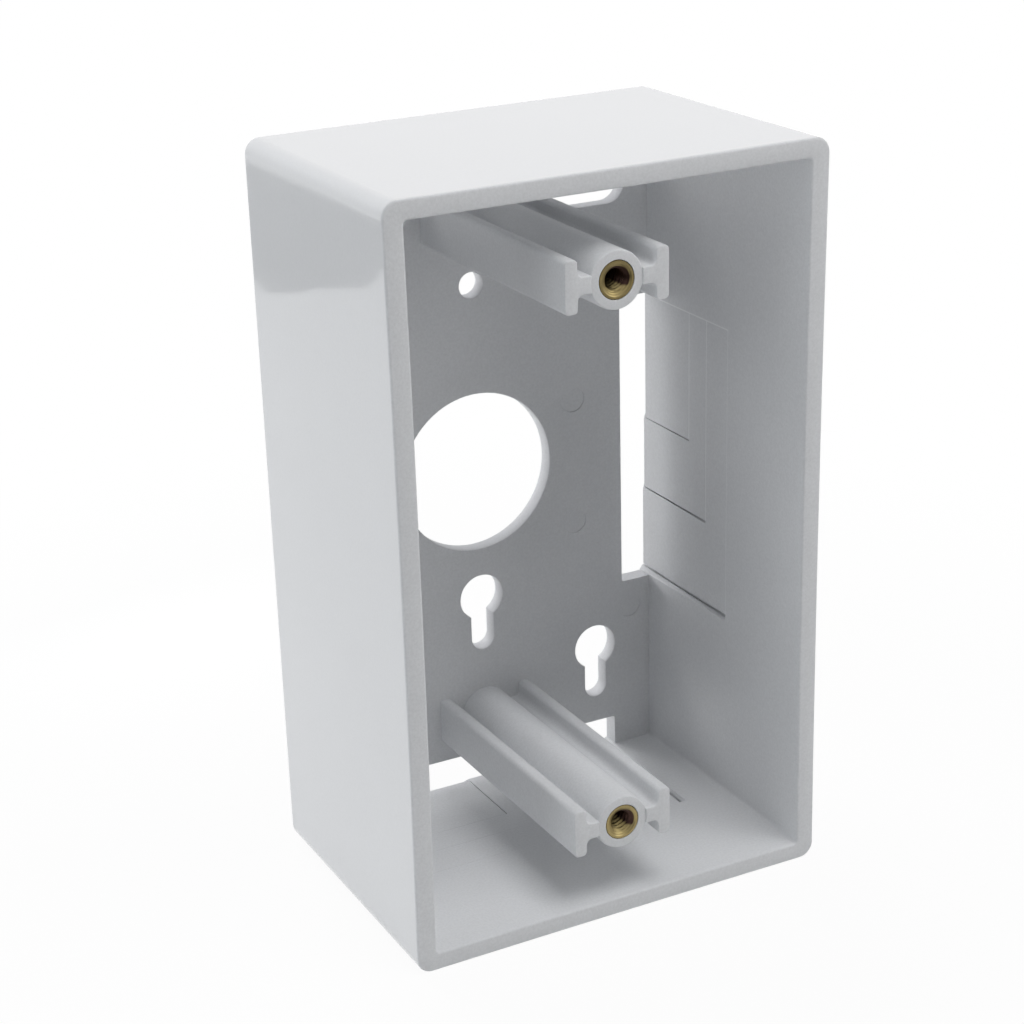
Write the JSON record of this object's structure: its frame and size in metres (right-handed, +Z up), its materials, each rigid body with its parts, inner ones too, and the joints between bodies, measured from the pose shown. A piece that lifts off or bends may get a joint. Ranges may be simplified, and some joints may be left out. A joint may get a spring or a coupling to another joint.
{
  "type": "surface mount box",
  "caption": "Single-gang surface mount box moulded in white plastic, with brass screw inserts and scored raceway break-outs.",
  "frame": {"origin": "centre of the round cable hole, on the back face that lies against the wall", "axes": "+Z up as mounted, +Y into the wall, the open front looks along -Y"},
  "size_m": [0.0692, 0.0472, 0.1142],
  "materials": {
    "white_plastic": "gloss",
    "insert_brass": "machined"
  },
  "bodies": {
    "root": {"box_body": "white_plastic", "upper_insert": "insert_brass", "lower_insert": "insert_brass"}
  },
  "joints": []
}
